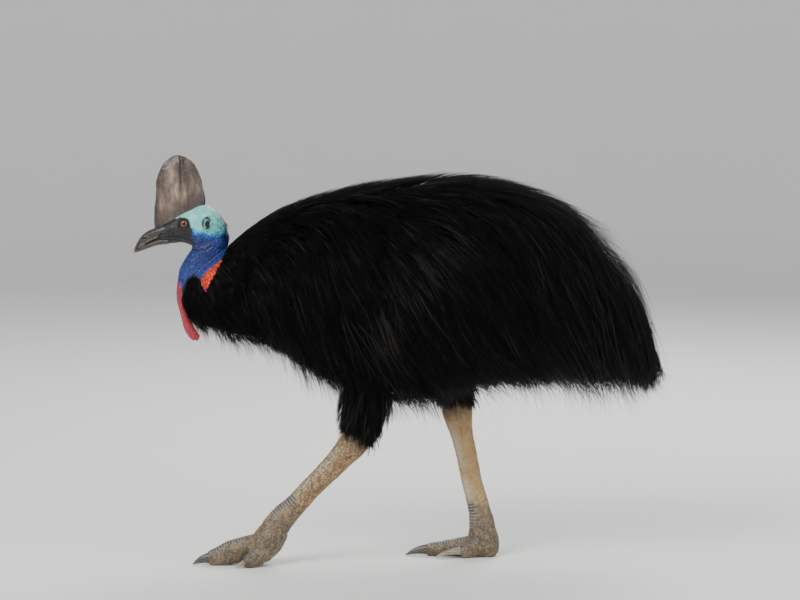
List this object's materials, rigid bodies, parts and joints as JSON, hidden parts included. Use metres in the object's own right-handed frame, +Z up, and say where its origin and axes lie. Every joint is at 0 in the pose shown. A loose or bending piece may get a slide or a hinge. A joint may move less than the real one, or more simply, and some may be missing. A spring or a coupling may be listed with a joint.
{
  "type": "cassowary museum model",
  "caption": "Life-size still model of a walking southern cassowary: shaggy black body, bare blue neck, helmet-like casque, wattles and strong scaled legs.",
  "frame": {"origin": "middle of the bird's box on the floor it stands on", "axes": "-X the way the bird faces and walks, -Y its left side, +Z up"},
  "size_m": [1.3292, 0.5082, 1.0155],
  "materials": {
    "plumage": "satin",
    "turquoise_skin": "matte",
    "blue_skin": "matte",
    "orange_skin": "matte",
    "red_skin": "matte",
    "ear_skin": "matte",
    "casque_horn": "satin",
    "bill_horn": "satin",
    "iris": "gloss",
    "leg_scales": "matte",
    "foot_scales": "matte",
    "claw_horn": "satin",
    "spur_horn": "satin",
    "quill": "satin"
  },
  "bodies": {
    "root": {"torso": "plumage", "tail": "plumage", "neck_plumage": "plumage", "thigh_left": "plumage", "thigh_right": "plumage", "wing_left": "quill", "wing_right": "quill", "head": "turquoise_skin", "neck": "blue_skin", "nape_left": "orange_skin", "nape_right": "orange_skin", "wattle_left": "red_skin", "wattle_right": "red_skin", "ear_left": "ear_skin", "ear_right": "ear_skin", "eye_left": "iris", "eye_right": "iris", "casque": "casque_horn", "bill_upper": "bill_horn", "bill_lower": "bill_horn", "shank_left": "leg_scales", "shank_right": "leg_scales", "foot_left": "foot_scales", "foot_right": "foot_scales", "toe_middle_left": "foot_scales", "toe_middle_right": "foot_scales", "toe_inner_left": "foot_scales", "toe_inner_right": "foot_scales", "toe_outer_left": "foot_scales", "toe_outer_right": "foot_scales", "claw_middle_left": "claw_horn", "claw_middle_right": "claw_horn", "claw_outer_left": "claw_horn", "claw_outer_right": "claw_horn", "claw_inner_left": "spur_horn", "claw_inner_right": "spur_horn"}
  },
  "joints": []
}
